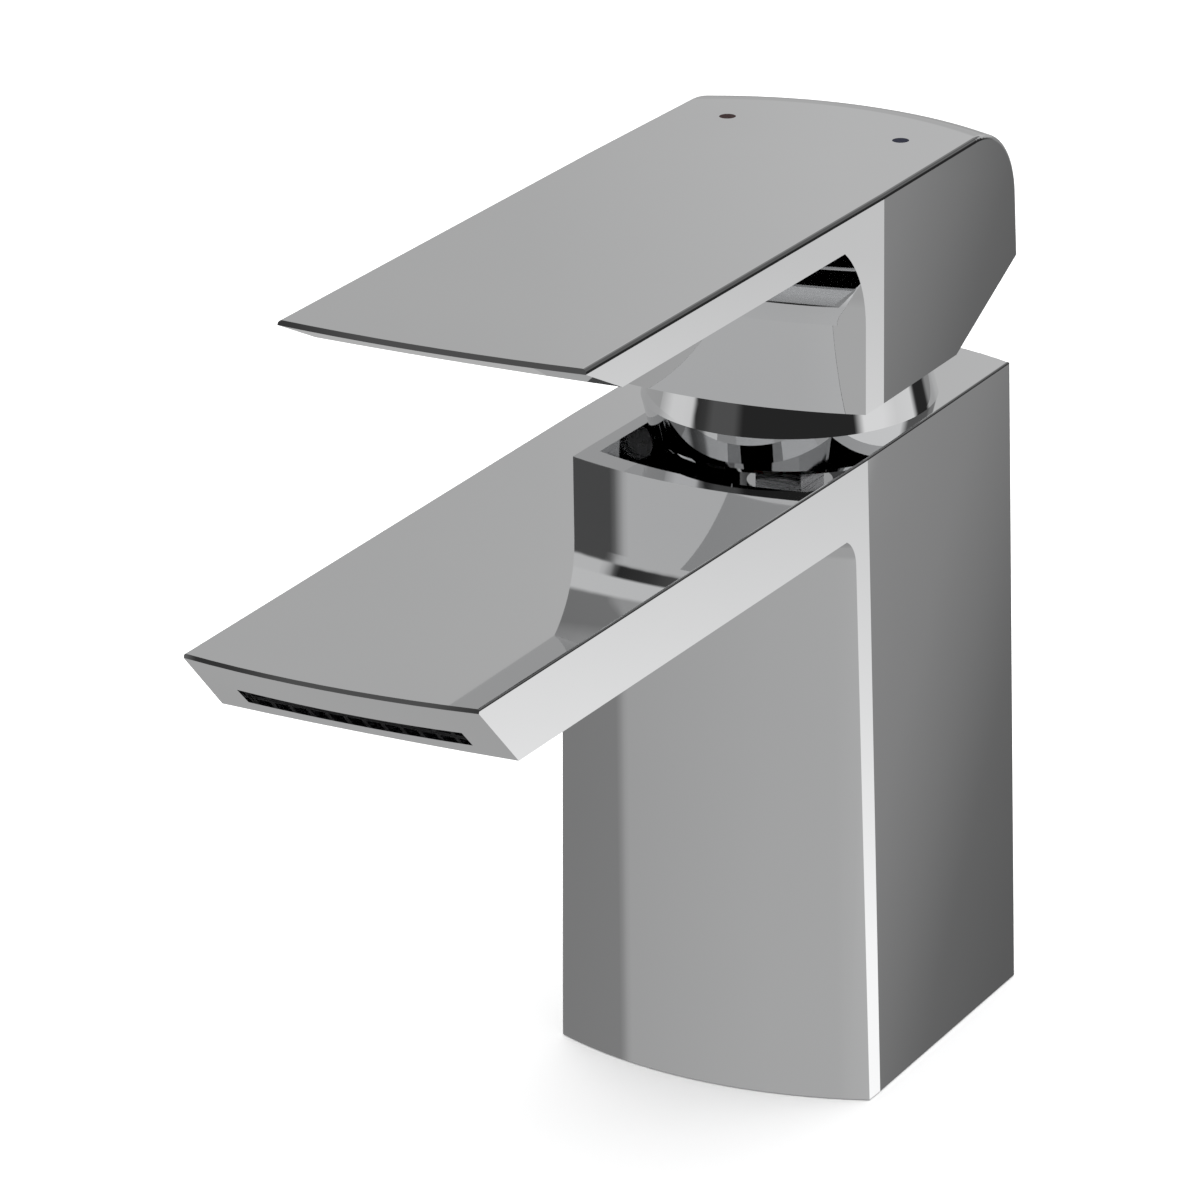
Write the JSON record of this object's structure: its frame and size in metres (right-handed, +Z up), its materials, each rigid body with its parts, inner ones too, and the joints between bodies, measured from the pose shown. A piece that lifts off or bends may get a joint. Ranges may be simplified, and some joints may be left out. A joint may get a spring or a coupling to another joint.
{
  "type": "basin mixer",
  "caption": "Deck-mounted single-lever basin mixer: bowed square column, flat slab spout with a slotted undercut tip, and a long flat lever over it that lifts and swivels to set flow and heat.",
  "frame": {"origin": "on the deck plane, at the axis of the column and of the cartridge", "axes": "+Z up along the column, -Y along the spout towards the user, +X to the cold side"},
  "size_m": [0.0552, 0.1774, 0.1458],
  "materials": {
    "chrome": "polished chrome on cast brass",
    "brass": "turned brass",
    "steel": "turned stainless steel",
    "plastic": "moulded white acetal",
    "former": "moulded black plastic",
    "stop": "moulded red plastic",
    "ceramic": "lapped alumina",
    "rubber": "black rubber",
    "hot_mark": "very dark red enamel",
    "cold_mark": "very dark blue enamel",
    "cover": "grey plastic plug"
  },
  "bodies": {
    "mixer_body": {"body_casting": "chrome", "stream_former": "former", "former_seal": "rubber", "base_gasket": "rubber", "cartridge_base": "plastic", "port_seals": "rubber", "disc_seals": "rubber", "fixed_disc": "ceramic", "cartridge_housing": "plastic", "temperature_stop": "stop", "cartridge_nut": "brass", "collar": "chrome", "collar_o_ring": "rubber"},
    "swivel": {"spindle_guide": "plastic", "spindle_pin": "steel"},
    "slider": {"moving_disc": "ceramic", "disc_carrier": "plastic"},
    "lever": {"spindle": "steel", "handle": "chrome", "hot_index": "hot_mark", "cold_index": "cold_mark", "grub_screw": "steel", "screw_cover": "cover"}
  },
  "joints": [
    {"name": "lever_swivel", "type": "hinge", "parent": "mixer_body", "child": "swivel", "pos_m": [0, 0, 0.094], "axis": [0, 0, 1], "range_deg": [-45, 45]},
    {"name": "lever_lift", "type": "hinge", "parent": "swivel", "child": "lever", "pos_m": [0, 0, 0.094], "axis": [-1, 0, 0], "range_deg": [0, 25]},
    {"name": "disc_slide", "type": "slide", "parent": "swivel", "child": "slider", "axis": [0, -1, 0], "range_m": [0, 0.0034]}
  ],
  "couplings": [
    {"joint": "disc_slide", "follows": "lever_lift", "m_per_rad": 0.00774}
  ]
}
